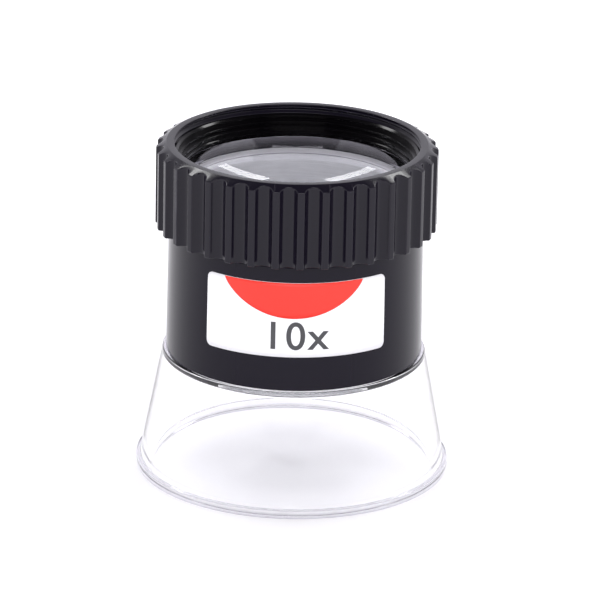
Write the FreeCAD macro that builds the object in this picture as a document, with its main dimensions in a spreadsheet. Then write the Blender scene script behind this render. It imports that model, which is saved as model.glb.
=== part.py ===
import FreeCAD, Part
import math
import os
import Sketcher

# A stand loupe: a clear skirt that stands on the picture, a black barrel plugged onto it, and a ribbed
# head that screws up and down in the barrel and carries the two lenses.
# Frame: origin at the centre of the foot's circle on the ground, +Z up the optical axis,
# the label faces -Y. All lengths are in millimetres.

DIMENSIONS = {
    # clear skirt
    "foot_radius": 21.0,
    "foot_height": 1.2,
    "foot_bore_radius": 18.95,
    "foot_edge": 0.25,
    "skirt_base_radius": 20.5,
    "skirt_lip_radius": 17.6,
    "skirt_lip_edge": 0.3,
    "skirt_inner_top_radius": 16.1,
    "flange_bottom": 15.4,
    "flange_bore_radius": 14.6,
    "spigot_radius": 15.74,
    "spigot_top": 19.4,
    # barrel
    "barrel_bottom": 16.56,
    "barrel_bottom_radius": 17.1,
    "barrel_top": 33.65,
    "barrel_top_radius": 16.92,
    "barrel_bore_radius": 15.8,
    "barrel_edge": 0.25,
    "neck_radius": 16.5,
    "neck_top": 34.6,
    "neck_edge": 0.15,
    # every cut starts this far outside the material that it cuts
    "overcut": 0.05,
    # a thread's flat crest and flat root, as shares of its pitch
    "thread_crest_share": 0.12,
    "thread_root_share": 0.12,
    # focusing thread between the head's sleeve and the barrel's neck
    "focus_pitch": 1.5,
    "focus_depth": 0.4,
    "focus_clearance": 0.09,
    "focus_nut_bottom": 30.0,
    "focus_screw_bottom": 25.0,
    # label
    "label_thickness": 0.12,
    "label_bottom": 21.3,
    "label_top": 31.55,
    "label_angle": 85.2,
    "label_turn": 0.9,
    "label_corner": 0.8,
    # focusing head
    "head_top": 45.17,
    "head_bottom": 33.9,
    "rim_radius": 16.27,
    "land_radius": 17.3,
    "crest_radius": 18.69,
    "crest_top": 44.45,
    "crest_bottom_edge": 0.2,
    "flute_radius": 1.2,
    "flute_centre_radius": 18.97,
    "flute_count": 36,
    "flute_turn": -3.0,
    "recess_radius": 16.68,
    "recess_top": 36.4,
    "ring_thread_pitch": 0.8,
    "ring_thread_depth": 0.4,
    "ring_thread_clearance": 0.1,
    "ring_seat": 39.2,
    "relief_radius": 16.75,
    "relief_height": 0.7,
    "sleeve_radius": 15.7,
    "lens_bore_radius": 15.6,
    "lens_bore_bottom": 37.6,
    "sleeve_bore_radius": 14.45,
    "sleeve_bottom": 20.3,
    "ledge_top": 21.2,
    "ledge_radius": 13.6,
    "groove_bottom": 23.2,
    "groove_width": 1.0,
    "groove_radius": 14.95,
    # lenses
    "lens_radius": 14.4,
    "lens_edge_bevel": 0.15,
    "field_curve": 30.5,
    "field_edge": 1.3,
    "eye_curve": 43.5,
    "eye_top": 39.36,
    "eye_thickness": 4.1,
    "eye_radius": 15.5,
    # spacer
    "spacer_bore_radius": 13.8,
    # retaining ring: its bore opens upwards in steps against stray light, and each step has a sharp
    # inner edge at this radius and height
    "ring_bore_radius": 15.2,
    "ring_thread_top": 42.0,
    "ring_upper_radius": 16.12,
    "ring_top": 44.05,
    "step_1_radius": 15.7,
    "step_1_height": 43.78,
    "step_2_radius": 15.3,
    "step_2_height": 43.1,
    "step_3_radius": 15.05,
    "step_3_height": 42.4,
    "step_4_radius": 15.0,
    "step_4_height": 41.64,
    "step_5_radius": 15.12,
    "step_5_height": 41.08,
    "step_undercut": 0.15,
    "step_fall": 0.12,
    # O-ring
    "seal_section_radius": 0.39,
    "seal_centre_radius": 15.39,
}

FULL_TURN = 360
HELIX_BY_HEIGHT = "pitch-height-angle"
LEAST_CUT = 0.01
STEP_COUNT = 5
UP = FreeCAD.Vector(0, 0, 1)

doc = FreeCAD.newDocument("viewing_loupe")
size = doc.addObject("Spreadsheet::Sheet", "Size")


def fill_sheet():
    """Write every driving dimension to the sheet, one row each, with its name as the alias."""
    for row, (name, value) in enumerate(DIMENSIONS.items(), start=1):
        size.set("A%d" % row, name)
        size.set("B%d" % row, str(value))
        size.setAlias("B%d" % row, name)
    doc.recompute()


def number(expression):
    """The present value of an expression over the sheet, in millimetres or degrees."""
    return float(size.evalExpression(expression.replace("Size.", "")))


def origin_feature(body, role):
    """The plane or axis of a body's own origin that has this role."""
    return next(item for item in body.Origin.OriginFeatures if item.Role == role)


def new_body(name):
    """An empty PartDesign body whose label is the sub-part's name."""
    body = doc.addObject("PartDesign::Body", name)
    body.Label = name
    return body


def new_sketch(body, name, plane):
    """A sketch on one of the body's origin planes."""
    sketch = body.newObject("Sketcher::SketchObject", name)
    sketch.AttachmentSupport = [(origin_feature(body, plane), "")]
    sketch.MapMode = "FlatFace"
    return sketch


def bind_length(sketch, kind, targets, expression):
    """Add one dimension to a sketch and drive it from the sheet."""
    index = sketch.addConstraint(Sketcher.Constraint(kind, *targets, number(expression)))
    sketch.setExpression("Constraints[%d]" % index, expression)


def pin_point(sketch, edge, end, across, up):
    """Hold one end of an edge at a distance across from the axis and a height up, both expressions."""
    for kind, expression in (("DistanceX", across), ("DistanceY", up)):
        if expression == "0":
            axis = -2 if kind == "DistanceX" else -1
            sketch.addConstraint(Sketcher.Constraint("PointOnObject", edge, end, axis))
        else:
            bind_length(sketch, kind, (-1, 1, edge, end), expression)


def draw_outline(sketch, corners):
    """Draw a closed outline. A corner is (across, up), and a third entry bends the edge that leaves it.

    The third entry is (radius, side): an arc of that radius, whose centre is to the left (+1) or to the
    right (-1) of the way from this corner to the next.
    """
    points = [FreeCAD.Vector(number(corner[0]), number(corner[1]), 0) for corner in corners]
    edges = []
    for index, corner in enumerate(corners):
        start = points[index]
        end = points[(index + 1) % len(points)]
        if len(corner) == 2:
            edges.append((sketch.addGeometry(Part.LineSegment(start, end), False), 1, 2))
            continue
        radius, side = corner[2]
        edges.append(add_arc(sketch, start, end, number(radius), side))
        bind_length(sketch, "Radius", (edges[-1][0],), radius)
    for index, (edge, start_end, _) in enumerate(edges):
        before, _, before_end = edges[index - 1]
        sketch.addConstraint(Sketcher.Constraint("Coincident", before, before_end, edge, start_end))
        pin_point(sketch, edge, start_end, corners[index][0], corners[index][1])


def add_arc(sketch, start, end, radius, side):
    """Add the short arc from start to end. It gives the edge, its start's and its end's point numbers."""
    chord = end - start
    left = FreeCAD.Vector(-chord.y, chord.x, 0).normalize()
    rise = math.sqrt(radius ** 2 - (chord.Length / 2) ** 2)
    centre = (start + end) / 2 + left * rise * side
    first = math.atan2(start.y - centre.y, start.x - centre.x)
    last = math.atan2(end.y - centre.y, end.x - centre.x)
    circle = Part.Circle(centre, FreeCAD.Vector(0, 0, 1), radius)
    if side > 0:
        return sketch.addGeometry(Part.ArcOfCircle(circle, first, last), False), 1, 2
    return sketch.addGeometry(Part.ArcOfCircle(circle, last, first), False), 2, 1


def turn(body, name, corners, kind="Revolution"):
    """Revolve a half outline of (radius, height) corners about the optical axis, or groove the body."""
    before = body.Shape.Volume if kind == "Groove" else 0
    sketch = new_sketch(body, name + "_outline", "XZ_Plane")
    draw_outline(sketch, corners)
    feature = body.newObject("PartDesign::" + kind, name)
    feature.Profile = sketch
    feature.ReferenceAxis = (sketch, ["V_Axis"])
    feature.Angle = FULL_TURN
    doc.recompute()
    if kind == "Groove":
        require_change(body, name, before)
    return feature


def cut_thread(body, name, corners, pitch, length):
    """Cut a screw thread: the tooth gap's outline is carried up a helix about the optical axis."""
    before = body.Shape.Volume
    sketch = new_sketch(body, name + "_outline", "XZ_Plane")
    draw_outline(sketch, corners)
    helix = body.newObject("PartDesign::SubtractiveHelix", name)
    helix.Profile = sketch
    helix.ReferenceAxis = (sketch, ["V_Axis"])
    helix.Mode = HELIX_BY_HEIGHT
    helix.setExpression("Pitch", pitch)
    helix.setExpression("Height", length)
    doc.recompute()
    require_change(body, name, before)
    return helix


def require_change(body, name, before):
    """Stop if a cut took nothing away."""
    if before - body.Shape.Volume < LEAST_CUT:
        raise RuntimeError("%s cut nothing from %s" % (name, body.Label))


def thread_gap(open_side, root, start, pitch):
    """The gap between two turns of a thread: wide at its open side and narrow at its root.

    On an outside thread the root is the smaller of the two radii, and on an inside thread the larger.
    """
    heights = []
    for share in ("Size.thread_crest_share / 2", "(1 - Size.thread_root_share) / 2",
                  "(1 + Size.thread_root_share) / 2", "(1 - Size.thread_crest_share / 2)"):
        heights.append("%s + %s * %s" % (start, pitch, share))
    return list(zip((open_side, root, root, open_side), heights))


def clear_skirt():
    """The clear stand: a straight conical wall on a foot rim, closed by a flange that holds a spigot."""
    body = new_body("clear_skirt")
    turn(body, "skirt_wall", [
        ("Size.foot_bore_radius", "0"),
        ("Size.foot_radius - Size.foot_edge", "0"),
        ("Size.foot_radius", "Size.foot_edge"),
        ("Size.foot_radius", "Size.foot_height"),
        ("Size.skirt_base_radius", "Size.foot_height"),
        ("Size.skirt_lip_radius", "Size.barrel_bottom - Size.skirt_lip_edge", ("Size.skirt_lip_edge", 1)),
        ("Size.skirt_lip_radius - Size.skirt_lip_edge", "Size.barrel_bottom"),
        ("Size.spigot_radius", "Size.barrel_bottom"),
        ("Size.spigot_radius", "Size.spigot_top"),
        ("Size.flange_bore_radius", "Size.spigot_top"),
        ("Size.flange_bore_radius", "Size.flange_bottom"),
        ("Size.skirt_inner_top_radius", "Size.flange_bottom"),
    ])
    return body


def barrel():
    """The black barrel: a lightly drafted tube with a thin neck on top and a focusing nut inside it."""
    body = new_body("barrel")
    turn(body, "barrel_tube", [
        ("Size.barrel_bore_radius", "Size.barrel_bottom"),
        ("Size.barrel_bottom_radius", "Size.barrel_bottom"),
        ("Size.barrel_top_radius", "Size.barrel_top - Size.barrel_edge"),
        ("Size.barrel_top_radius - Size.barrel_edge", "Size.barrel_top"),
        ("Size.neck_radius", "Size.barrel_top"),
        ("Size.neck_radius", "Size.neck_top - Size.neck_edge"),
        ("Size.neck_radius - Size.neck_edge", "Size.neck_top"),
        ("Size.sleeve_radius + Size.focus_clearance - Size.focus_depth", "Size.neck_top"),
        ("Size.sleeve_radius + Size.focus_clearance - Size.focus_depth", "Size.focus_nut_bottom"),
        ("Size.barrel_bore_radius", "Size.focus_nut_bottom - Size.focus_depth"),
    ])
    cut_thread(body, "focus_nut_thread", thread_gap(
        "Size.sleeve_radius + Size.focus_clearance - Size.focus_depth - Size.overcut",
        "Size.sleeve_radius + Size.focus_clearance",
        "(Size.focus_screw_bottom + Size.focus_pitch * 1.5)", "Size.focus_pitch",
    ), "Size.focus_pitch", "Size.neck_top - Size.focus_screw_bottom")
    return body


def label():
    """The sticker: a thin curved sheet with rounded corners on the front of the barrel."""
    body = new_body("label")
    slope = "(Size.barrel_bottom_radius - Size.barrel_top_radius)"
    slope += " / (Size.barrel_top - Size.barrel_edge - Size.barrel_bottom)"
    low = "Size.barrel_bottom_radius - (Size.label_bottom - Size.barrel_bottom) * " + slope
    high = "Size.barrel_bottom_radius - (Size.label_top - Size.barrel_bottom) * " + slope
    sheet = turn(body, "label_sheet", [
        (low, "Size.label_bottom"),
        (low + " + Size.label_thickness", "Size.label_bottom"),
        (high + " + Size.label_thickness", "Size.label_top"),
        (high, "Size.label_top"),
    ])
    sheet.setExpression("Angle", "Size.label_angle")
    sheet.Midplane = True
    doc.recompute()
    before = body.Shape.Volume
    corners = []
    for index, edge in enumerate(sheet.Shape.Edges, start=1):
        if edge.Length < 2 * number("Size.label_thickness"):
            corners.append("Edge%d" % index)
    rounding = body.newObject("PartDesign::Fillet", "label_corners")
    rounding.Base = (sheet, corners)
    rounding.setExpression("Radius", "Size.label_corner")
    doc.recompute()
    require_change(body, "label_corners", before)
    front = -90 + number("Size.label_turn")
    body.Placement = FreeCAD.Placement(FreeCAD.Vector(), FreeCAD.Rotation(UP, front))
    return body


def focusing_head():
    """The head: a ribbed collar and the lens-carrying sleeve below it, in one moulding."""
    body = new_body("focusing_head")
    turn(body, "head_turned", [
        ("Size.ledge_radius", "Size.sleeve_bottom"),
        ("Size.sleeve_radius", "Size.sleeve_bottom"),
        ("Size.sleeve_radius", "Size.recess_top"),
        ("Size.recess_radius", "Size.recess_top"),
        ("Size.recess_radius", "Size.head_bottom"),
        ("Size.crest_radius - Size.crest_bottom_edge", "Size.head_bottom"),
        ("Size.crest_radius", "Size.head_bottom + Size.crest_bottom_edge"),
        ("Size.crest_radius", "Size.crest_top"),
        ("Size.land_radius", "Size.head_top"),
        ("Size.rim_radius", "Size.head_top"),
        ("Size.rim_radius", "Size.ring_seat + Size.relief_height"),
        ("Size.relief_radius", "Size.ring_seat + Size.relief_height"),
        ("Size.relief_radius", "Size.ring_seat"),
        ("Size.lens_bore_radius", "Size.ring_seat"),
        ("Size.lens_bore_radius", "Size.lens_bore_bottom"),
        ("Size.sleeve_bore_radius", "Size.lens_bore_bottom"),
        ("Size.sleeve_bore_radius", "Size.ledge_top"),
        ("Size.ledge_radius", "Size.ledge_top"),
    ])
    turn(body, "seal_groove", [
        ("Size.groove_radius", "Size.groove_bottom"),
        ("Size.sleeve_radius + Size.overcut", "Size.groove_bottom"),
        ("Size.sleeve_radius + Size.overcut", "Size.groove_bottom + Size.groove_width"),
        ("Size.groove_radius", "Size.groove_bottom + Size.groove_width"),
    ], "Groove")
    cut_flutes(body)
    cut_thread(body, "ring_nut_thread", thread_gap(
        "Size.rim_radius - Size.overcut", "Size.rim_radius + Size.ring_thread_depth",
        "(Size.ring_seat - Size.ring_thread_pitch * 0.3)", "Size.ring_thread_pitch",
    ), "Size.ring_thread_pitch", "Size.head_top - Size.ring_seat + Size.ring_thread_pitch")
    cut_thread(body, "focus_screw_thread", thread_gap(
        "Size.sleeve_radius + Size.overcut", "Size.sleeve_radius - Size.focus_depth",
        "Size.focus_screw_bottom", "Size.focus_pitch",
    ), "Size.focus_pitch", "Size.recess_top - Size.focus_screw_bottom - Size.focus_pitch")
    return body


def cut_flutes(body):
    """Cut one round-bottomed flute into the collar's crest and repeat it around the axis."""
    before = body.Shape.Volume
    sketch = new_sketch(body, "flute_outline", "XY_Plane")
    angle = "(Size.flute_turn - 90)"
    across = number("Size.flute_centre_radius * cos(%s)" % angle)
    along = number("Size.flute_centre_radius * sin(%s)" % angle)
    radius = number("Size.flute_radius")
    centre = FreeCAD.Vector(across, along, 0)
    sketch.addGeometry(Part.Circle(centre, UP, radius), False)
    bind_length(sketch, "Radius", (0,), "Size.flute_radius")
    bind_length(sketch, "DistanceX", (-1, 1, 0, 3), "Size.flute_centre_radius * cos(%s)" % angle)
    bind_length(sketch, "DistanceY", (-1, 1, 0, 3), "Size.flute_centre_radius * sin(%s)" % angle)
    flute = body.newObject("PartDesign::Pocket", "flute")
    flute.Profile = sketch
    flute.Type = "ThroughAll"
    flute.Reversed = True
    doc.recompute()
    require_change(body, "flute", before)
    ring = body.newObject("PartDesign::PolarPattern", "flutes")
    ring.Originals = [flute]
    ring.Axis = (origin_feature(body, "Z_Axis"), [""])
    ring.Angle = FULL_TURN
    ring.setExpression("Occurrences", "Size.flute_count")
    body.Tip = ring
    doc.recompute()


def lens_sag(curve, radius):
    """How far a ball surface falls from its apex at this distance from the axis, as an expression."""
    return "(%s - sqrt(%s * %s - %s * %s))" % (curve, curve, curve, radius, radius)


def field_lens():
    """The lower lens, convex both ways, resting on the corner of the sleeve's ledge."""
    body = new_body("field_lens")
    edge_sag = lens_sag("Size.field_curve", "Size.lens_radius")
    edge_low = "(Size.ledge_top + %s - %s)" % (edge_sag, lens_sag("Size.field_curve", "Size.ledge_radius"))
    edge_high = "(%s + Size.field_edge)" % edge_low
    turn(body, "field_glass", [
        ("0", "%s - %s" % (edge_low, edge_sag), ("Size.field_curve", 1)),
        ("Size.lens_radius", edge_low),
        ("Size.lens_radius", edge_high, ("Size.field_curve", 1)),
        ("0", "%s + %s" % (edge_high, edge_sag)),
    ])
    return body


def spacer_bottom():
    """Where the spacer's lower inner corner meets the field lens's upper surface, as an expression."""
    return "(Size.ledge_top - %s + Size.field_edge + 2 * %s - %s)" % (
        lens_sag("Size.field_curve", "Size.ledge_radius"),
        lens_sag("Size.field_curve", "Size.lens_radius"),
        lens_sag("Size.field_curve", "Size.spacer_bore_radius"))


def lens_spacer():
    """The tube that keeps the two lenses apart."""
    body = new_body("lens_spacer")
    contact_sag = lens_sag("Size.eye_curve", "Size.spacer_bore_radius")
    spacer_top = "(Size.eye_top - Size.eye_thickness + %s)" % contact_sag
    turn(body, "spacer_tube", [
        ("Size.spacer_bore_radius", spacer_bottom()),
        ("Size.lens_radius", spacer_bottom()),
        ("Size.lens_radius", spacer_top),
        ("Size.spacer_bore_radius", spacer_top),
    ])
    return body


def eye_lens():
    """The upper lens: flat above, convex below, resting on the spacer's inner edge."""
    body = new_body("eye_lens")
    apex = "Size.eye_top - Size.eye_thickness"
    turn(body, "eye_glass", [
        ("0", apex, ("Size.eye_curve", 1)),
        ("Size.eye_radius", "%s + %s" % (apex, lens_sag("Size.eye_curve", "Size.eye_radius"))),
        ("Size.eye_radius", "Size.eye_top - Size.lens_edge_bevel"),
        ("Size.eye_radius - Size.lens_edge_bevel", "Size.eye_top"),
        ("0", "Size.eye_top"),
    ])
    return body


def ring_steps():
    """The stepped bore from the top down: each step's inner edge, then the undercut below it."""
    corners = []
    for step in range(1, STEP_COUNT + 1):
        radius, height = "Size.step_%d_radius" % step, "Size.step_%d_height" % step
        corners.append((radius, height))
        if step < STEP_COUNT:
            below = "Size.step_%d_height + Size.step_fall" % (step + 1)
            corners.append((radius + " + Size.step_undercut", below))
    return corners


def lens_retaining_ring():
    """The threaded ring that presses on the eye lens, with a bore that opens upwards in steps."""
    body = new_body("lens_retaining_ring")
    outside = "Size.rim_radius + Size.ring_thread_depth - Size.ring_thread_clearance"
    turn(body, "ring_turned", [
        ("Size.ring_bore_radius", "Size.eye_top"),
        (outside, "Size.eye_top"),
        (outside, "Size.ring_thread_top"),
        ("Size.ring_upper_radius", "Size.ring_thread_top + Size.ring_thread_depth"),
        ("Size.ring_upper_radius", "Size.ring_top"),
    ] + ring_steps())
    cut_thread(body, "ring_thread", thread_gap(
        outside + " + Size.overcut", outside + " - Size.ring_thread_depth",
        "(Size.ring_seat - Size.ring_thread_pitch * 0.8)", "Size.ring_thread_pitch",
    ), "Size.ring_thread_pitch", "Size.ring_thread_top - Size.ring_seat + 2 * Size.ring_thread_pitch")
    return body


def friction_ring():
    """The O-ring in the sleeve's groove, which drags on the barrel's bore."""
    seal = doc.addObject("Part::Torus", "friction_ring")
    seal.Label = "friction_ring"
    seal.setExpression("Radius1", "Size.seal_centre_radius")
    seal.setExpression("Radius2", "Size.seal_section_radius")
    seal.setExpression("Placement.Base.z", "Size.groove_bottom + Size.groove_width / 2")
    doc.recompute()
    return seal


def check_document(parts):
    """Stop on any failed object, and on any sub-part that is empty, invalid or not one solid."""
    for item in doc.Objects:
        if "Invalid" in item.State or "Error" in item.State:
            raise RuntimeError("%s failed: %s" % (item.Name, item.State))
    for part in parts:
        shape = part.Shape
        if shape.isNull() or not shape.isValid() or len(shape.Solids) != 1:
            raise RuntimeError("%s is not one valid solid" % part.Label)


def export(parts):
    """Write each sub-part to its own STEP file."""
    os.makedirs("parts", exist_ok=True)
    for part in parts:
        part.Shape.exportStep("parts/%s.step" % part.Label)
        print("%-20s %9.2f mm3" % (part.Label, part.Shape.Volume))


fill_sheet()
sub_parts = [
    clear_skirt(),
    barrel(),
    label(),
    focusing_head(),
    field_lens(),
    lens_spacer(),
    eye_lens(),
    lens_retaining_ring(),
    friction_ring(),
]
doc.recompute()
check_document(sub_parts)
export(sub_parts)
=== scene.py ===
import math

import bmesh
import bpy
import numpy as np
from mathutils import Matrix, Vector


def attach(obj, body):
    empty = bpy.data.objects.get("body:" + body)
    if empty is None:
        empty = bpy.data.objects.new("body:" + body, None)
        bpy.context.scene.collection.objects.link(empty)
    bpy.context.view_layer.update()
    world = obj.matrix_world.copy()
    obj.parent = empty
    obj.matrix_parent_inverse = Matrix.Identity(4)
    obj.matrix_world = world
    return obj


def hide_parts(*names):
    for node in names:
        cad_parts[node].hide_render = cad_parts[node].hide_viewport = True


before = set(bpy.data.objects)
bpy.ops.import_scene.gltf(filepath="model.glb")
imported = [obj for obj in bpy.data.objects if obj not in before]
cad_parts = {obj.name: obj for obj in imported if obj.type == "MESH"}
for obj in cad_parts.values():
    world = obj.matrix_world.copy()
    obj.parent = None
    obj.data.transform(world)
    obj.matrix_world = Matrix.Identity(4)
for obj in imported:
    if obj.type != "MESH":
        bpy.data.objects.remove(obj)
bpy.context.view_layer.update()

MM = 0.001

# The photograph's viewpoint: a long lens, a little above the table, in front of the label.
CAMERA_TARGET = Vector((0.00073, 0.0, 0.0230))
CAMERA_DISTANCE = 0.656
CAMERA_ELEVATION = math.radians(20.18)
CAMERA_ROLL = math.radians(1.15)
CAMERA_FOCAL_MM = 294.6
CAMERA_SENSOR_MM = 36.0

# Heights and radii of the turned pieces, in millimetres, from the CAD part. The small rounds on edges are
# only in this model.
FOOT_RADIUS = 21.0
FOOT_HEIGHT = 1.2
FOOT_BORE = 18.95
SKIRT_BASE_RADIUS = 20.5
SKIRT_TOP_RADIUS = 17.54  # the conical wall carried on up to the lip's top
SKIRT_LIP_EDGE = 0.3
SKIRT_INNER_TOP_RADIUS = 16.1
FLANGE_BOTTOM = 15.4
FLANGE_BORE = 14.6
SPIGOT_RADIUS = 15.74
SPIGOT_TOP = 19.4

BARREL_BOTTOM = 16.56
BARREL_BOTTOM_RADIUS = 17.1
BARREL_TOP = 33.65
BARREL_TOP_RADIUS = 16.92
BARREL_BORE = 15.8
BARREL_EDGE = 0.25
NECK_RADIUS = 16.5
NECK_TOP = 34.6
NUT_BOTTOM = 30.0
FOCUS_PITCH = 1.5
FOCUS_DEPTH = 0.4
FOCUS_CLEARANCE = 0.09
FOCUS_SCREW_BOTTOM = 25.0

LABEL_THICKNESS = 0.12
LABEL_BOTTOM = 21.3
LABEL_TOP = 31.55
LABEL_HALF_ANGLE = math.radians(42.6)
LABEL_TURN = math.radians(0.9)
LABEL_CORNER = 0.8

HEAD_TOP = 45.17
HEAD_BOTTOM = 33.9
RIM_RADIUS = 16.27
LAND_RADIUS = 17.3
CREST_RADIUS = 18.69
CREST_TOP = 44.45
FLUTE_RADIUS = 1.2
FLUTE_CENTRE_RADIUS = 18.97
FLUTE_COUNT = 36
FLUTE_TURN = math.radians(-3.0)
RECESS_RADIUS = 16.68
RECESS_TOP = 36.4
RING_SEAT = 39.2
RELIEF_RADIUS = 16.75
RELIEF_HEIGHT = 0.7
SLEEVE_RADIUS = 15.7
LENS_BORE = 15.6
LENS_BORE_BOTTOM = 37.6
SLEEVE_BORE = 14.45
SLEEVE_BOTTOM = 20.3
LEDGE_TOP = 21.2
LEDGE_RADIUS = 13.6
GROOVE_BOTTOM = 23.2
GROOVE_TOP = 24.2
GROOVE_RADIUS = 14.95
RING_PITCH = 0.8
RING_DEPTH = 0.4
RING_CLEARANCE = 0.1

LENS_RADIUS = 14.4
LENS_BEVEL = 0.15
FIELD_CURVE = 30.5
FIELD_EDGE = 1.3
EYE_CURVE = 43.5
EYE_TOP = 39.36
EYE_THICKNESS = 4.1
EYE_RADIUS = 15.5
SPACER_BORE = 13.8
RING_BORE = 15.2
RING_THREAD_TOP = 42.0
RING_UPPER_RADIUS = 16.12
RING_TOP = 44.05
RING_STEPS = ((15.7, 43.78), (15.3, 43.1), (15.05, 42.4), (15.0, 41.64), (15.12, 41.08))
STEP_UNDERCUT = 0.15
STEP_FALL = 0.12

# The bare polished wall of the ring's bore, a thin sleeve that ends below the last step's edge.
POLISHED_THICKNESS = 0.06
POLISHED_TOP_GAP = 0.06
POLISHED_ROUND = 0.03

# The eye lens's ground edge: half the thickness of its skin, and its distance below the flat top.
GROUND_SKIN = 0.03
GROUND_TOP_GAP = 0.1
GROUND_STEPS = 9

# The collar: rounds where flutes meet the crest and at their lower ends, and how they run into the bevel.
FLUTE_EASE = 0.2
FLUTE_ARC_POINTS = 8
FLUTE_EASE_POINTS = 5
FLUTE_END_ROUND = 0.16
FLUTE_END_ROWS = 5
BEVEL_INSET = 0.13
BEVEL_FALL = 0.2
BEVEL_ROWS = 6
RECESS_EDGE = 0.1

# The head's two threads stop this far below their tops. The upper one starts at this share of its pitch.
RING_THREAD_TOP_GAP = 0.12
FOCUS_THREAD_TOP_GAP = 0.2
RING_THREAD_PHASE = 0.3

# Printing on the sticker.
INK_THICKNESS = 0.015
RED_HALF_WIDTH = 9.5
RED_DEPTH = 4.9
RED_SHIFT = -0.4
RED_FULLNESS = 0.75
RED_TOP_GAP = 0.02
RED_COLUMNS = 81
MARK_SIZE = 5.4
MARK_BOLDNESS = 0.05
MARK_SPACING = 1.1
MARK_BASELINE = 1.1
MARK_HALF_SPAN = 9
MARK_SLICE = 0.35
MARK_MERGE_DISTANCE = 1e-4

# Fineness of the meshes.
SKIRT_COLUMNS = 384
BARREL_COLUMNS = 288
RING_COLUMNS = 384
LENS_COLUMNS = 256
LENS_RINGS = 40
SPACER_COLUMNS = 192
SHEET_ROWS = 6
LABEL_CORNER_STEPS = 9
LABEL_MIDDLE_STEPS = 61
CORNER_STEPS = 4
MERGE_DISTANCE = 2e-7

NOISE_ROUGHNESS = 0.55

# The studio, in metres: each lamp's name, place, width, height and power. All lamps face the target.
FLOOR_HALF_MM = 3000
LAMP_TARGET = Vector((0, 0, 0.02))
LAMPS = (
    ("softbox_left", (-0.8, -0.07, 0.42), 1.4, 0.5, 1.8),
    ("softbox_right", (0.79, -0.1, 0.42), 1.2, 0.5, 2.0),
    ("softbox_front", (0.0, -1.05, 0.95), 1.2, 0.5, 7.8),
    ("strip_left", (-0.32, 0.43, 0.58), 0.35, 0.1, 1.3),
    ("strip_right", (0.32, 0.43, 0.58), 0.35, 0.1, 1.3),
)
# The surround's brightness by height, from the horizon up, and its tint.
WORLD_STOPS = ((0.0, 1.1), (0.35, 1.0), (0.62, 0.25), (1.0, 0.10))
WORLD_TINT = (0.97, 0.95, 1.03)


# ---------------------------------------------------------------- outlines

def corner(before, point, after, rounding):
    """Points of a small round in place of a sharp corner of an outline."""
    before, point, after = (np.array(p[:2], float) for p in (before, point, after))
    back, ahead = before - point, after - point
    back_length, ahead_length = np.linalg.norm(back), np.linalg.norm(ahead)
    cosine = np.clip(np.dot(back, ahead) / (back_length * ahead_length), -1, 1)
    reach = rounding / max(math.tan(math.acos(cosine) / 2), 1e-3)
    reach = min(reach, 0.45 * back_length, 0.45 * ahead_length)
    start, end = point + back / back_length * reach, point + ahead / ahead_length * reach
    shares = np.linspace(0, 1, CORNER_STEPS + 1)
    return [(1 - s) ** 2 * start + 2 * s * (1 - s) * point + s ** 2 * end for s in shares]


def rounded(corners):
    """A closed outline with each (radius, height, rounding) corner eased by its rounding."""
    points = []
    for index, item in enumerate(corners):
        if len(item) == 2 or item[2] == 0:
            points.append(np.array(item[:2], float))
            continue
        after = corners[(index + 1) % len(corners)]
        points += corner(corners[index - 1], item, after, item[2])
    return points


def sag(curve, radius):
    """How far a ball surface falls from its apex at this distance from the axis."""
    return curve - math.sqrt(curve ** 2 - radius ** 2)


# ---------------------------------------------------------------- meshes

def new_object(name, vertices, faces, smooth=True):
    """A mesh object in metres from points in millimetres, with doubled points merged."""
    mesh = bpy.data.meshes.new(name)
    mesh.from_pydata((np.asarray(vertices) * MM).tolist(), [], faces)
    work = bmesh.new()
    work.from_mesh(mesh)
    bmesh.ops.remove_doubles(work, verts=work.verts, dist=MERGE_DISTANCE)
    bmesh.ops.recalc_face_normals(work, faces=work.faces)
    work.to_mesh(mesh)
    work.free()
    if smooth:
        mesh.shade_smooth()
    piece = bpy.data.objects.new(name, mesh)
    bpy.context.scene.collection.objects.link(piece)
    return piece


def weight_normals(piece):
    """Keep broad faces flat or truly round beside their small rounded edges."""
    weighting = piece.modifiers.new("face_weights", "WEIGHTED_NORMAL")
    weighting.mode = "FACE_AREA"
    weighting.weight = 50


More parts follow.
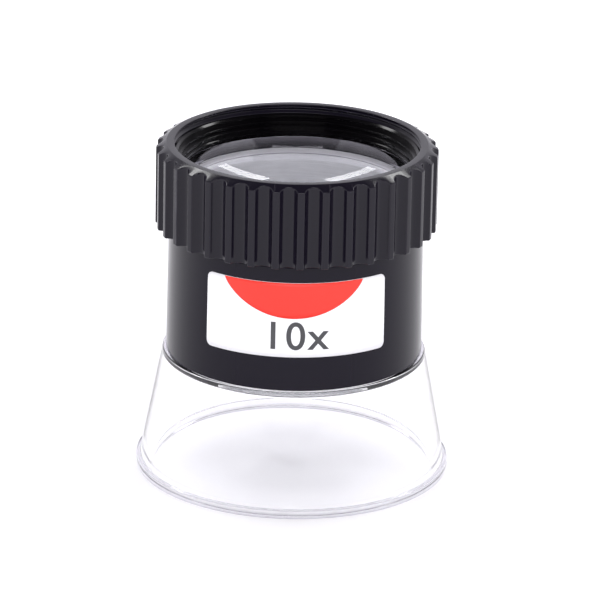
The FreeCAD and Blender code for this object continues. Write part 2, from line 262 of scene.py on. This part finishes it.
class Turned:
    """A closed turned mesh: rows of points around the axis, which may climb as a screw thread."""

    def __init__(self, angles):
        self.angles = np.asarray(angles)
        self.rows = []
        self.partners = []

    def add(self, radius, height, angles=None):
        """One level row. Radius, height and angles may differ from column to column."""
        turn = self.angles if angles is None else angles
        radius = np.broadcast_to(np.asarray(radius, float), turn.shape)
        height = np.broadcast_to(np.asarray(height, float), turn.shape)
        self.partners.append(len(self.rows))
        self.rows.append(np.stack((radius * np.cos(turn), radius * np.sin(turn), height), 1))

    def add_points(self, points):
        for radius, height in points:
            self.add(radius, height)

    def add_thread(self, crest, root, pitch, start, low, high, stations, downwards):
        """A right-hand thread between two heights, as rows that climb one pitch in each turn.

        stations are (share of the pitch, share of the depth), in order up the pitch.
        """
        turns = self.angles / (2 * math.pi)
        first_turn = math.floor((low - start) / pitch - turns[-1]) - 1
        last_turn = math.ceil((high - start) / pitch - turns[0]) + 1
        block = []
        for index in range(first_turn, last_turn):
            for share, depth in stations:
                height = start + pitch * (index + share + turns)
                block.append((crest + (root - crest) * depth, height))
        shift = len(stations)
        if downwards:
            block.reverse()
            shift = -shift
        first = len(self.rows)
        last = first + len(block) - 1
        for index, (radius, height) in enumerate(block):
            self.add(radius, np.clip(height, low, high))
            self.partners[-1] = min(max(first + index + shift, first), last)

    def build(self, name):
        """Join the rows into a closed mesh. Past the last column, a thread meets its next turn."""
        columns = len(self.angles)
        rows = len(self.rows)
        faces = []
        for row in range(rows):
            above = (row + 1) % rows
            here, there = row * columns, above * columns
            for column in range(columns - 1):
                faces.append((here + column, here + column + 1, there + column + 1, there + column))
            near, far = self.partners[row] * columns, self.partners[above] * columns
            faces.append((here + columns - 1, near, far, there + columns - 1))
        piece = new_object(name, np.concatenate(self.rows), faces)
        weight_normals(piece)
        return piece


def even_angles(count):
    return np.linspace(0, 2 * math.pi, count, endpoint=False)


def lathe(name, outline, columns):
    """A plain turned piece from a closed outline of (radius, height) points."""
    turned = Turned(even_angles(columns))
    turned.add_points(outline)
    return turned.build(name)


# A moulded thread's outline up one pitch: a narrow flat crest, an eased flank and a narrow root.
THREAD_STATIONS = ((0.04, 0.0), (0.08, 0.06), (0.40, 0.92), (0.45, 1.0),
                   (0.55, 1.0), (0.60, 0.92), (0.92, 0.06), (0.96, 0.0))
HIDDEN_THREAD_STATIONS = ((0.06, 0.0), (0.44, 1.0), (0.56, 1.0), (0.94, 0.0))


# ---------------------------------------------------------------- pieces

def make_skirt():
    outline = rounded([
        (FOOT_BORE, 0.0, 0.12),
        (FOOT_RADIUS, 0.0, 0.25),
        (FOOT_RADIUS, FOOT_HEIGHT, 0.2),
        (SKIRT_BASE_RADIUS, FOOT_HEIGHT, 0.15),
        (SKIRT_TOP_RADIUS, BARREL_BOTTOM, SKIRT_LIP_EDGE),
        (SPIGOT_RADIUS, BARREL_BOTTOM, 0.0),
        (SPIGOT_RADIUS, SPIGOT_TOP, 0.15),
        (FLANGE_BORE, SPIGOT_TOP, 0.15),
        (FLANGE_BORE, FLANGE_BOTTOM, 0.15),
        (SKIRT_INNER_TOP_RADIUS, FLANGE_BOTTOM, 0.3),
    ])
    return lathe("skirt_moulding", outline, SKIRT_COLUMNS)


def make_barrel():
    turned = Turned(even_angles(BARREL_COLUMNS))
    minor = SLEEVE_RADIUS + FOCUS_CLEARANCE - FOCUS_DEPTH
    major = SLEEVE_RADIUS + FOCUS_CLEARANCE
    turned.add_points(rounded([
        (minor, NECK_TOP, 0.0),
        (BARREL_BORE, NUT_BOTTOM - FOCUS_DEPTH, 0.0),
        (BARREL_BORE, BARREL_BOTTOM, 0.1),
        (BARREL_BOTTOM_RADIUS, BARREL_BOTTOM, 0.14),
        (BARREL_TOP_RADIUS, BARREL_TOP, BARREL_EDGE),
        (NECK_RADIUS, BARREL_TOP, 0.1),
        (NECK_RADIUS, NECK_TOP, 0.15),
        (minor, NECK_TOP, 0.0),
    ])[1:-1])
    turned.add_thread(minor, major, FOCUS_PITCH, FOCUS_SCREW_BOTTOM - FOCUS_PITCH / 2,
                      NUT_BOTTOM, NECK_TOP, HIDDEN_THREAD_STATIONS, True)
    return turned.build("barrel_moulding")


def collar_section(inset):
    """The collar's section, moved into the material by inset: column angles and radii."""
    crest, lip_radius = CREST_RADIUS - inset, CREST_RADIUS - FLUTE_EASE
    cosine = FLUTE_CENTRE_RADIUS ** 2 + lip_radius ** 2 - (FLUTE_RADIUS + FLUTE_EASE) ** 2
    cosine /= 2 * FLUTE_CENTRE_RADIUS * lip_radius
    lip_angle = math.acos(cosine)
    lip = lip_radius * np.array((math.cos(lip_angle), math.sin(lip_angle)))
    centre = np.array((FLUTE_CENTRE_RADIUS, 0.0))
    toward = (lip - centre) / np.linalg.norm(lip - centre)
    points = []
    for turn in np.linspace(0, math.atan2(toward[1], -toward[0]), FLUTE_ARC_POINTS):
        points.append(centre + (FLUTE_RADIUS + inset) * np.array((-math.cos(turn), math.sin(turn))))
    for turn in np.linspace(math.atan2(-toward[1], -toward[0]), lip_angle, FLUTE_EASE_POINTS)[1:]:
        points.append(lip + (FLUTE_EASE - inset) * np.array((math.cos(turn), math.sin(turn))))
    half_pitch = math.pi / FLUTE_COUNT
    points.append(crest * np.array((math.cos(half_pitch), math.sin(half_pitch))))
    half_angles = np.array([math.atan2(p[1], p[0]) for p in points])
    half_radii = np.array([np.linalg.norm(p) for p in points])
    section_angles = np.concatenate((-half_angles[:0:-1], half_angles[:-1]))
    section_radii = np.concatenate((half_radii[:0:-1], half_radii[:-1]))
    start = FLUTE_TURN - math.pi / 2
    angles = [section_angles + start + 2 * half_pitch * index for index in range(FLUTE_COUNT)]
    return np.concatenate(angles), np.tile(section_radii, FLUTE_COUNT)


def make_head():
    """The head. Its collar's flutes have small rounds at their lower ends and where they meet the bevel."""
    angles, radii = collar_section(0.0)
    turned = Turned(angles)
    slope = (HEAD_TOP - CREST_TOP) / (CREST_RADIUS - LAND_RADIUS)
    for turn in np.linspace(0, math.pi / 2, FLUTE_END_ROWS):
        inset, rise = FLUTE_END_ROUND * (1 - math.sin(turn)), FLUTE_END_ROUND * (1 - math.cos(turn))
        section_angles, section_radii = collar_section(inset)
        turned.add(section_radii, HEAD_BOTTOM + rise, section_angles)
    for share in np.linspace(0, 1, BEVEL_ROWS):
        section_angles, section_radii = collar_section(BEVEL_INSET * share ** 2)
        height = CREST_TOP + (CREST_RADIUS - section_radii) * slope - BEVEL_FALL * (1 - share) ** 2
        turned.add(section_radii, height, section_angles)
    turned.add_points(rounded([
        (CREST_RADIUS, CREST_TOP, 0.0),
        (LAND_RADIUS, HEAD_TOP, 0.12),
        (RIM_RADIUS, HEAD_TOP, 0.1),
        (RIM_RADIUS, RING_SEAT, 0.0),
    ])[1:-1])
    turned.add_thread(RIM_RADIUS, RIM_RADIUS + RING_DEPTH, RING_PITCH,
                      RING_SEAT - RING_THREAD_PHASE * RING_PITCH, RING_SEAT + RELIEF_HEIGHT,
                      HEAD_TOP - RING_THREAD_TOP_GAP, THREAD_STATIONS, True)
    turned.add_points(rounded([
        (RIM_RADIUS, RING_SEAT + RELIEF_HEIGHT, 0.0),
        (RELIEF_RADIUS, RING_SEAT + RELIEF_HEIGHT, 0.0),
        (RELIEF_RADIUS, RING_SEAT, 0.0),
        (LENS_BORE, RING_SEAT, 0.0),
        (LENS_BORE, LENS_BORE_BOTTOM, 0.0),
        (SLEEVE_BORE, LENS_BORE_BOTTOM, 0.05),
        (SLEEVE_BORE, LEDGE_TOP, 0.0),
        (LEDGE_RADIUS, LEDGE_TOP, 0.08),
        (LEDGE_RADIUS, SLEEVE_BOTTOM, 0.15),
        (SLEEVE_RADIUS, SLEEVE_BOTTOM, 0.25),
        (SLEEVE_RADIUS, GROOVE_BOTTOM, 0.05),
        (GROOVE_RADIUS, GROOVE_BOTTOM, 0.0),
        (GROOVE_RADIUS, GROOVE_TOP, 0.0),
        (SLEEVE_RADIUS, GROOVE_TOP, 0.05),
        (SLEEVE_RADIUS, FOCUS_SCREW_BOTTOM, 0.0),
    ])[:-1])
    turned.add_thread(SLEEVE_RADIUS, SLEEVE_RADIUS - FOCUS_DEPTH, FOCUS_PITCH, FOCUS_SCREW_BOTTOM,
                      FOCUS_SCREW_BOTTOM, RECESS_TOP - FOCUS_THREAD_TOP_GAP,
                      HIDDEN_THREAD_STATIONS, False)
    turned.add_points([
        (SLEEVE_RADIUS, RECESS_TOP),
        (RECESS_RADIUS, RECESS_TOP),
        (RECESS_RADIUS, HEAD_BOTTOM + RECESS_EDGE),
        (RECESS_RADIUS + RECESS_EDGE, HEAD_BOTTOM),
    ])
    return turned.build("head_moulding")


def lens_outline(rim, low_curve, low_edge, high_edge, high_curve):
    """A lens's outline from the axis below, round the edge, to the axis above. No high_curve is flat."""
    points = []
    for radius in np.linspace(0, rim - LENS_BEVEL, LENS_RINGS):
        points.append((radius, low_edge + sag(low_curve, radius) - sag(low_curve, rim)))
    points.append((rim, low_edge + LENS_BEVEL))
    points.append((rim, high_edge - LENS_BEVEL))
    for radius in np.linspace(rim - LENS_BEVEL, 0, LENS_RINGS):
        rise = high_curve and sag(high_curve, rim) - sag(high_curve, radius)
        points.append((radius, high_edge + rise))
    return points


def make_lenses():
    field_low = LEDGE_TOP + sag(FIELD_CURVE, LENS_RADIUS) - sag(FIELD_CURVE, LEDGE_RADIUS)
    field_high = field_low + FIELD_EDGE
    field = lens_outline(LENS_RADIUS, FIELD_CURVE, field_low, field_high, FIELD_CURVE)
    eye_low = EYE_TOP - EYE_THICKNESS + sag(EYE_CURVE, EYE_RADIUS)
    eye = lens_outline(EYE_RADIUS, EYE_CURVE, eye_low, EYE_TOP, 0)
    return lathe("field_lens_glass", field, LENS_COLUMNS), lathe("eye_lens_glass", eye, LENS_COLUMNS)


def make_ground_edge():
    """The eye lens's ground edge: a thin skin sunk into its rim and round under its clear aperture."""
    low, top = EYE_TOP - EYE_THICKNESS, EYE_TOP - GROUND_TOP_GAP
    inner, outer = EYE_RADIUS - GROUND_SKIN, EYE_RADIUS + GROUND_SKIN
    aperture = LENS_RADIUS - GROUND_SKIN
    outline = [(inner, top), (outer, top)]
    for radius in np.linspace(outer, aperture, GROUND_STEPS):
        outline.append((radius, low + sag(EYE_CURVE, radius) - GROUND_SKIN))
    for radius in np.linspace(aperture, inner, GROUND_STEPS):
        outline.append((radius, low + sag(EYE_CURVE, radius) + GROUND_SKIN))
    return lathe("eye_lens_ground_edge", outline, LENS_COLUMNS)


def make_spacer():
    """The tube between the lenses, with fine turned grooves in its bore against stray light."""
    bottom = LEDGE_TOP - sag(FIELD_CURVE, LEDGE_RADIUS) + FIELD_EDGE
    bottom += 2 * sag(FIELD_CURVE, LENS_RADIUS) - sag(FIELD_CURVE, SPACER_BORE)
    top = EYE_TOP - EYE_THICKNESS + sag(EYE_CURVE, SPACER_BORE)
    outline = rounded([
        (SPACER_BORE, bottom, 0.05),
        (LENS_RADIUS, bottom, 0.05),
        (LENS_RADIUS, top, 0.05),
        (SPACER_BORE, top, 0.05),
    ])
    pitch, depth, margin = 0.5, 0.12, 0.6
    count = int((top - bottom - 2 * margin) / pitch)
    for index in range(count):
        crest = top - margin - index * pitch
        outline += [(SPACER_BORE, crest), (SPACER_BORE + depth, crest - pitch / 2)]
    return lathe("spacer_tube", outline, SPACER_COLUMNS)


def make_retaining_ring():
    """The ring over the eye lens. Its bore opens upwards in sharp-edged steps."""
    outside = RIM_RADIUS + RING_DEPTH - RING_CLEARANCE
    corners = [
        (RING_BORE + POLISHED_THICKNESS, EYE_TOP, 0.0),
        (outside, EYE_TOP, 0.0),
        (outside, RING_THREAD_TOP, 0.0),
        (RING_UPPER_RADIUS, RING_THREAD_TOP + RING_DEPTH, 0.0),
        (RING_UPPER_RADIUS, RING_TOP, 0.05),
    ]
    for index, (radius, height) in enumerate(RING_STEPS):
        corners.append((radius, height, 0.04))
        if index + 1 < len(RING_STEPS):
            corners.append((radius + STEP_UNDERCUT, RING_STEPS[index + 1][1] + STEP_FALL, 0.02))
    corners.append((RING_BORE + POLISHED_THICKNESS, RING_STEPS[-1][1] - POLISHED_TOP_GAP, 0.0))
    return lathe("retaining_ring", rounded(corners), RING_COLUMNS)


def make_ring_bore():
    """The ring's bare polished wall below the painted steps, as a thin sleeve in its bore."""
    top_radius, last_height = RING_STEPS[-1]
    top, outside = last_height - POLISHED_TOP_GAP, RING_BORE + POLISHED_THICKNESS
    outline = rounded([
        (RING_BORE, EYE_TOP, POLISHED_ROUND),
        (outside, EYE_TOP, 0.0),
        (outside, top, 0.0),
        (top_radius, top, POLISHED_ROUND),
    ])
    return lathe("ring_polished_bore", outline, RING_COLUMNS)


# ---------------------------------------------------------------- label

def barrel_radius(height):
    share = (height - BARREL_BOTTOM) / (BARREL_TOP - BARREL_BOTTOM)
    return BARREL_BOTTOM_RADIUS + (BARREL_TOP_RADIUS - BARREL_BOTTOM_RADIUS) * share


def on_barrel(across, height, lift):
    """The place on the barrel's front of a point of the flat label, this far off the surface."""
    turn = across / BARREL_BOTTOM_RADIUS - math.pi / 2 + LABEL_TURN
    radius = barrel_radius(height) + lift
    return radius * math.cos(turn), radius * math.sin(turn), height


def wrapped_sheet(name, columns, inner, outer):
    """A thin curved sheet. columns are (across, low, high) of the flat shape, in millimetres."""
    vertices, faces = [], []
    for lift in (inner, outer):
        for across, low, high in columns:
            for row in range(SHEET_ROWS + 1):
                vertices.append(on_barrel(across, low + (high - low) * row / SHEET_ROWS, lift))
    stride = SHEET_ROWS + 1
    layer = len(columns) * stride
    for column in range(len(columns) - 1):
        for row in range(SHEET_ROWS):
            first = column * stride + row
            faces.append((first, first + stride, first + stride + 1, first + 1))
            faces.append((layer + first, layer + first + 1, layer + first + stride + 1,
                          layer + first + stride))
        for row in (0, SHEET_ROWS):
            first = column * stride + row
            faces.append((first, layer + first, layer + first + stride, first + stride))
    for column in (0, len(columns) - 1):
        for row in range(SHEET_ROWS):
            first = column * stride + row
            faces.append((first, first + 1, layer + first + 1, layer + first))
    return new_object(name, vertices, faces)


def label_columns():
    """The sticker's outline: a rectangle with round corners, as columns across it."""
    half = LABEL_HALF_ANGLE * BARREL_BOTTOM_RADIUS
    corner_turns = np.linspace(0, math.pi / 2, LABEL_CORNER_STEPS)
    left = [(-half + LABEL_CORNER * (1 - math.cos(t)), LABEL_CORNER * (1 - math.sin(t)))
            for t in corner_turns]
    middle = [(across, 0.0) for across in
              np.linspace(-half + LABEL_CORNER, half - LABEL_CORNER, LABEL_MIDDLE_STEPS)]
    right = [(-across, inset) for across, inset in left[::-1]]
    columns = left + middle[1:-1] + right
    return [(across, LABEL_BOTTOM + inset, LABEL_TOP - inset) for across, inset in columns]


def make_label():
    return wrapped_sheet("label_sticker", label_columns(), 0.0, LABEL_THICKNESS)


def make_red_panel():
    """A plain red bowl shape that hangs from the sticker's top edge."""
    top = LABEL_TOP - RED_TOP_GAP
    columns = []
    for offset in np.linspace(-RED_HALF_WIDTH, RED_HALF_WIDTH, RED_COLUMNS):
        drop = RED_DEPTH * (1 - (offset / RED_HALF_WIDTH) ** 2) ** RED_FULLNESS
        columns.append((offset + RED_SHIFT, top - drop, top))
    return wrapped_sheet("label_red_panel", columns, LABEL_THICKNESS, LABEL_THICKNESS + INK_THICKNESS)


def make_power_mark():
    """The generic magnification figure, 10x, printed under the red panel."""
    font = bpy.data.curves.new("power_mark", "FONT")
    font.body = "10x"
    font.size = MARK_SIZE
    font.align_x = "CENTER"
    font.extrude = INK_THICKNESS / 2
    font.offset = MARK_BOLDNESS
    font.space_character = MARK_SPACING
    flat = bpy.data.objects.new("power_mark_flat", font)
    bpy.context.scene.collection.objects.link(flat)
    mesh = bpy.data.meshes.new_from_object(flat)
    bpy.data.objects.remove(flat)
    work = bmesh.new()
    work.from_mesh(mesh)
    for across in np.arange(-MARK_HALF_SPAN, MARK_HALF_SPAN, MARK_SLICE):
        geometry = work.verts[:] + work.edges[:] + work.faces[:]
        bmesh.ops.bisect_plane(work, geom=geometry, plane_co=(across, 0, 0), plane_no=(1, 0, 0))
    bmesh.ops.remove_doubles(work, verts=work.verts, dist=MARK_MERGE_DISTANCE)
    for vertex in work.verts:
        across, up, lift = vertex.co
        height = LABEL_BOTTOM + MARK_BASELINE + up
        vertex.co = Vector(on_barrel(across, height, LABEL_THICKNESS + INK_THICKNESS / 2 + lift)) * MM
    work.to_mesh(mesh)
    work.free()
    mesh.name = "label_power_mark"
    piece = bpy.data.objects.new("label_power_mark", mesh)
    bpy.context.scene.collection.objects.link(piece)
    return piece


# ---------------------------------------------------------------- materials

class Nodes:
    """Short names for building a material's node tree."""

    def __init__(self, name):
        self.material = bpy.data.materials.new(name)
        self.material.use_nodes = True
        self.tree = self.material.node_tree
        self.shader = self.tree.nodes["Principled BSDF"]
        self.output = self.tree.nodes["Material Output"]
        self.place = self.add("ShaderNodeTexCoord").outputs["Object"]

    def add(self, kind, **settings):
        node = self.tree.nodes.new(kind)
        for key, value in settings.items():
            setattr(node, key, value)
        return node

    def link(self, source, target):
        self.tree.links.new(source, target)

    def noise(self, size_mm, detail=3.0, stretch=(1, 1, 1)):
        """Noise with features of about this size, as a value around one half."""
        mapping = self.add("ShaderNodeMapping")
        mapping.inputs["Scale"].default_value = stretch
        self.link(self.place, mapping.inputs["Vector"])
        node = self.add("ShaderNodeTexNoise")
        node.inputs["Scale"].default_value = 1 / (size_mm * MM)
        node.inputs["Detail"].default_value = detail
        node.inputs["Roughness"].default_value = NOISE_ROUGHNESS
        self.link(mapping.outputs["Vector"], node.inputs["Vector"])
        return node.outputs["Fac"]

    def spread(self, source, low, high, start=0.3, end=0.7):
        """Map a value that runs from start to end to one that runs from low to high."""
        node = self.add("ShaderNodeMapRange")
        for socket, value in zip(("From Min", "From Max", "To Min", "To Max"), (start, end, low, high)):
            node.inputs[socket].default_value = value
        self.link(source, node.inputs["Value"])
        return node.outputs["Result"]

    def blend(self, share, first, second):
        """A colour between two by a share."""
        node = self.add("ShaderNodeMix", data_type="RGBA")
        self.link(share, node.inputs["Factor"])
        node.inputs["A"].default_value = (*first, 1)
        node.inputs["B"].default_value = (*second, 1)
        return node.outputs["Result"]

    def bump(self, source, height_mm):
        """A normal from a value's relief of this height."""
        node = self.add("ShaderNodeBump")
        node.inputs["Distance"].default_value = height_mm * MM
        node.inputs["Strength"].default_value = 1.0
        self.link(source, node.inputs["Height"])
        return node.outputs["Normal"]

    def set(self, **values):
        """Set the shader's own sockets, named with _ for a space."""
        for key, value in values.items():
            self.shader.inputs[key.replace("_", " ")].default_value = value

    def drive(self, socket, source):
        self.link(source, self.shader.inputs[socket])

    def let_lamps_through(self, tint):
        """Light from lamps passes a clear piece, so that it doesn't cast a solid shadow."""
        rays = self.add("ShaderNodeLightPath")
        clear = self.add("ShaderNodeBsdfTransparent")
        clear.inputs["Color"].default_value = (*tint, 1)
        choose = self.add("ShaderNodeMixShader")
        self.link(rays.outputs["Is Shadow Ray"], choose.inputs["Fac"])
        self.link(self.shader.outputs["BSDF"], choose.inputs[1])
        self.link(clear.outputs["BSDF"], choose.inputs[2])
        self.link(choose.outputs["Shader"], self.output.inputs["Surface"])


def moulded_black(name, colour, edge_wear_and_highlight, rough_low, rough_high, grain_mm, grain_height):
    """Black moulded plastic: fine mould texture, uneven polish, and paler sharp edges, partly wear and
    partly a painted highlight.
    """
    nodes = Nodes(name)
    grain = nodes.noise(grain_mm, 2.0)
    patches = nodes.noise(6.0, 4.0)
    nodes.drive("Roughness", nodes.spread(patches, rough_low, rough_high))
    geometry = nodes.add("ShaderNodeNewGeometry")
    # Sharp edges get a paler colour: partly edge wear, partly a painted highlight.
    edges = nodes.spread(geometry.outputs["Pointiness"], 0.0, 1.0, 0.53, 0.62)
    scuffs_and_highlight = nodes.add("ShaderNodeMath", operation="MULTIPLY")
    nodes.link(edges, scuffs_and_highlight.inputs[0])
    nodes.link(nodes.spread(nodes.noise(1.5, 5.0), 0.2, 1.0), scuffs_and_highlight.inputs[1])
    nodes.drive("Base Color", nodes.blend(scuffs_and_highlight.outputs["Value"], colour, edge_wear_and_highlight))
    nodes.drive("Normal", nodes.bump(grain, grain_height))
    return nodes


def black_head_material():
    nodes = moulded_black("black_abs_satin", colour=(0.0062, 0.0048, 0.0108), edge_wear_and_highlight=(0.030, 0.028, 0.036),
                          rough_low=0.14, rough_high=0.22, grain_mm=0.22, grain_height=0.0012)
    nodes.set(IOR=1.35)
    return nodes.material


def black_barrel_material():
    nodes = moulded_black("black_abs_smooth", colour=(0.0050, 0.0036, 0.0095), edge_wear_and_highlight=(0.02, 0.018, 0.026),
                          rough_low=0.12, rough_high=0.20, grain_mm=0.5, grain_height=0.0010)
    nodes.set(IOR=1.29)
    return nodes.material


def ring_material():
    nodes = moulded_black("ring_black_paint", colour=(0.0015, 0.0012, 0.0018), edge_wear_and_highlight=(0.01, 0.01, 0.012),
                          rough_low=0.10, rough_high=0.18, grain_mm=0.3, grain_height=0.0004)
    nodes.set(IOR=1.23)
    return nodes.material


def polished_bore_material():
    nodes = Nodes("ring_polished_alloy")
    streaks = nodes.noise(0.3, 2.0, stretch=(0.05, 0.05, 1))
    nodes.drive("Roughness", nodes.spread(streaks, 0.05, 0.11))
    nodes.drive("Base Color", nodes.blend(nodes.spread(nodes.noise(2.0), 0, 1),
                                          (0.36, 0.35, 0.39), (0.42, 0.41, 0.45)))
    nodes.drive("Normal", nodes.bump(streaks, 0.0003))
    nodes.set(Metallic=1.0)
    return nodes.material


def spacer_material():
    nodes = Nodes("spacer_natural_acetal")
    streaks = nodes.noise(0.35, 3.0, stretch=(0.05, 0.05, 1))
    nodes.drive("Roughness", nodes.spread(streaks, 0.22, 0.32))
    nodes.drive("Base Color", nodes.blend(nodes.spread(nodes.noise(3.0), 0, 1),
                                          (0.67, 0.66, 0.70), (0.73, 0.72, 0.76)))
    nodes.drive("Normal", nodes.bump(streaks, 0.001))
    return nodes.material


def acrylic_material():
    """Clear acrylic, with a grey tint on the foot's lowest half millimetre: painted shade for the dark
    lines along the foot.
    """
    nodes = Nodes("clear_acrylic")
    split = nodes.add("ShaderNodeSeparateXYZ")
    nodes.link(nodes.place, split.inputs["Vector"])
    # Painted shade: the base colour greys towards the foot's underside, standing in for its dark edge
    # lines.
    painted_shade_share = nodes.spread(split.outputs["Z"], 1.0, 0.0, 0.05 * MM, 0.5 * MM)
    nodes.drive("Base Color", nodes.blend(painted_shade_share, (0.985, 0.985, 0.992), (0.42, 0.41, 0.45)))
    nodes.set(Transmission_Weight=1.0, IOR=1.49)
    nodes.drive("Roughness", nodes.spread(nodes.noise(4.0, 4.0), 0.0, 0.03))
    nodes.drive("Normal", nodes.bump(nodes.noise(5.0, 1.0), 0.003))
    nodes.let_lamps_through((0.93, 0.93, 0.95))
    return nodes.material


def glass_material():
    nodes = Nodes("optical_glass")
    nodes.set(Transmission_Weight=1.0, IOR=1.517, Base_Color=(0.985, 0.99, 0.995, 1))
    nodes.drive("Roughness", nodes.spread(nodes.noise(2.0, 4.0), 0.0, 0.015, 0.5, 0.8))
    nodes.let_lamps_through((0.92, 0.93, 0.94))
    return nodes.material


def ground_glass_material():
    nodes = Nodes("ground_glass")
    nodes.drive("Base Color", nodes.blend(nodes.noise(1.0), (0.50, 0.49, 0.53), (0.58, 0.57, 0.61)))
    nodes.drive("Roughness", nodes.spread(nodes.noise(0.5), 0.6, 0.8))
    nodes.drive("Normal", nodes.bump(nodes.noise(0.1), 0.004))
    return nodes.material


def vinyl_material(name, colour, second, rough):
    nodes = Nodes(name)
    nodes.drive("Base Color", nodes.blend(nodes.spread(nodes.noise(5.0, 4.0), 0, 1), colour, second))
    nodes.drive("Roughness", nodes.spread(nodes.noise(0.8, 3.0), rough - 0.06, rough + 0.06))
    nodes.drive("Normal", nodes.bump(nodes.noise(0.25, 2.0), 0.0012))
    return nodes.material


def rubber_material():
    nodes = Nodes("nitrile_rubber")
    nodes.drive("Roughness", nodes.spread(nodes.noise(0.4), 0.55, 0.75))
    nodes.drive("Base Color", nodes.blend(nodes.noise(1.0), (0.012, 0.012, 0.012), (0.025, 0.025, 0.025)))
    nodes.drive("Normal", nodes.bump(nodes.noise(0.2), 0.004))
    return nodes.material


def dress(piece, material):
    piece.data.materials.clear()
    piece.data.materials.append(material)


# ---------------------------------------------------------------- assembly

def place(piece, body, material, node=None):
    """Give a piece its material, its body, and the CAD node that it stands for."""
    dress(piece, material)
    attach(piece, body)
    if node:
        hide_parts(node)


def build_loupe():
    glass = glass_material()
    place(make_skirt(), "stand", acrylic_material(), "clear_skirt")
    place(make_barrel(), "stand", black_barrel_material(), "barrel")
    place(make_label(), "stand",
          vinyl_material("label_white", (0.93, 0.93, 0.94), (0.90, 0.90, 0.92), 0.38), "label")
    place(make_red_panel(), "stand",
          vinyl_material("ink_red", (0.93, 0.030, 0.016), (0.89, 0.027, 0.014), 0.40))
    place(make_power_mark(), "stand",
          vinyl_material("ink_grey", (0.045, 0.045, 0.05), (0.06, 0.06, 0.065), 0.42))
    place(make_head(), "head", black_head_material(), "focusing_head")
    place(make_retaining_ring(), "head", ring_material(), "lens_retaining_ring")
    place(make_ring_bore(), "head", polished_bore_material())
    field, eye = make_lenses()
    place(field, "head", glass, "field_lens")
    place(eye, "head", glass, "eye_lens")
    place(make_ground_edge(), "head", ground_glass_material())
    place(make_spacer(), "head", spacer_material(), "lens_spacer")
    dress(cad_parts["friction_ring"], rubber_material())


# ---------------------------------------------------------------- studio

def floor_material():
    """White paper that glows: painted light, which grows away from the loupe and so leaves painted shade
    round and under it.
    """
    nodes = Nodes("studio_floor")
    nodes.drive("Base Color", nodes.blend(nodes.noise(40.0, 2.0), (0.78, 0.775, 0.79), (0.80, 0.795, 0.81)))
    # Painted light: emission that is low near the loupe and rises with distance, so the floor there reads
    # as shaded.
    distance = nodes.add("ShaderNodeVectorMath", operation="LENGTH")
    nodes.link(nodes.place, distance.inputs[0])
    painted_glow = nodes.add("ShaderNodeMath", operation="ADD")
    nodes.link(nodes.spread(distance.outputs["Value"], 0.05, 0.36, 0.009, 0.025), painted_glow.inputs[0])
    nodes.link(nodes.spread(distance.outputs["Value"], 0.0, 0.5, 0.04, 0.30), painted_glow.inputs[1])
    nodes.drive("Emission Strength", painted_glow.outputs["Value"])
    nodes.set(Roughness=0.9, Specular_IOR_Level=0.1, Emission_Color=(0.985, 0.975, 1.0, 1))
    return nodes.material


def build_floor():
    half = FLOOR_HALF_MM
    floor = new_object("studio_floor",
                       [(-half, -half, 0), (half, -half, 0), (half, half, 0), (-half, half, 0)],
                       [(0, 1, 2, 3)], smooth=False)
    dress(floor, floor_material())


def add_softbox(name, location, width, height, power):
    lamp = bpy.data.lights.new(name, "AREA")
    lamp.shape = "RECTANGLE"
    lamp.size, lamp.size_y = width, height
    lamp.energy = power
    holder = bpy.data.objects.new(name, lamp)
    holder.location = location
    holder.rotation_euler = (LAMP_TARGET - Vector(location)).to_track_quat("-Z", "Y").to_euler()
    bpy.context.scene.collection.objects.link(holder)


def build_world():
    """A white surround, brighter at the horizon than overhead, like a light tent."""
    world = bpy.data.worlds.new("studio_world")
    bpy.context.scene.world = world
    world.use_nodes = True
    tree = world.node_tree
    background = tree.nodes["Background"]
    direction = tree.nodes.new("ShaderNodeTexCoord")
    split = tree.nodes.new("ShaderNodeSeparateXYZ")
    tree.links.new(direction.outputs["Generated"], split.inputs["Vector"])
    ramp = tree.nodes.new("ShaderNodeValToRGB")
    for index, (height, level) in enumerate(WORLD_STOPS):
        stop = ramp.color_ramp.elements[index] if index < 2 else ramp.color_ramp.elements.new(height)
        stop.position = height
        stop.color = (*(level * share for share in WORLD_TINT), 1)
    tree.links.new(split.outputs["Z"], ramp.inputs["Fac"])
    tree.links.new(ramp.outputs["Color"], background.inputs["Color"])
    background.inputs["Strength"].default_value = 1.0


def build_studio():
    build_floor()
    build_world()
    for lamp in LAMPS:
        add_softbox(*lamp)


def build_camera():
    elevation = CAMERA_ELEVATION
    back = Vector((0, -math.cos(elevation), math.sin(elevation)))
    right = Vector((1, 0, 0))
    up = Vector((0, math.sin(elevation), math.cos(elevation)))
    c, s = math.cos(CAMERA_ROLL), math.sin(CAMERA_ROLL)
    across, above = right * c + up * s, up * c - right * s
    camera = bpy.data.objects.new("camera", bpy.data.cameras.new("camera"))
    camera.data.lens = CAMERA_FOCAL_MM
    camera.data.sensor_width = CAMERA_SENSOR_MM
    camera.data.clip_start = 0.01
    turn = Matrix((across, above, back)).transposed()
    camera.matrix_world = Matrix.Translation(CAMERA_TARGET + back * CAMERA_DISTANCE) @ turn.to_4x4()
    bpy.context.scene.collection.objects.link(camera)
    bpy.context.scene.camera = camera


build_loupe()
build_studio()
build_camera()
bpy.context.scene.view_settings.view_transform = "Standard"
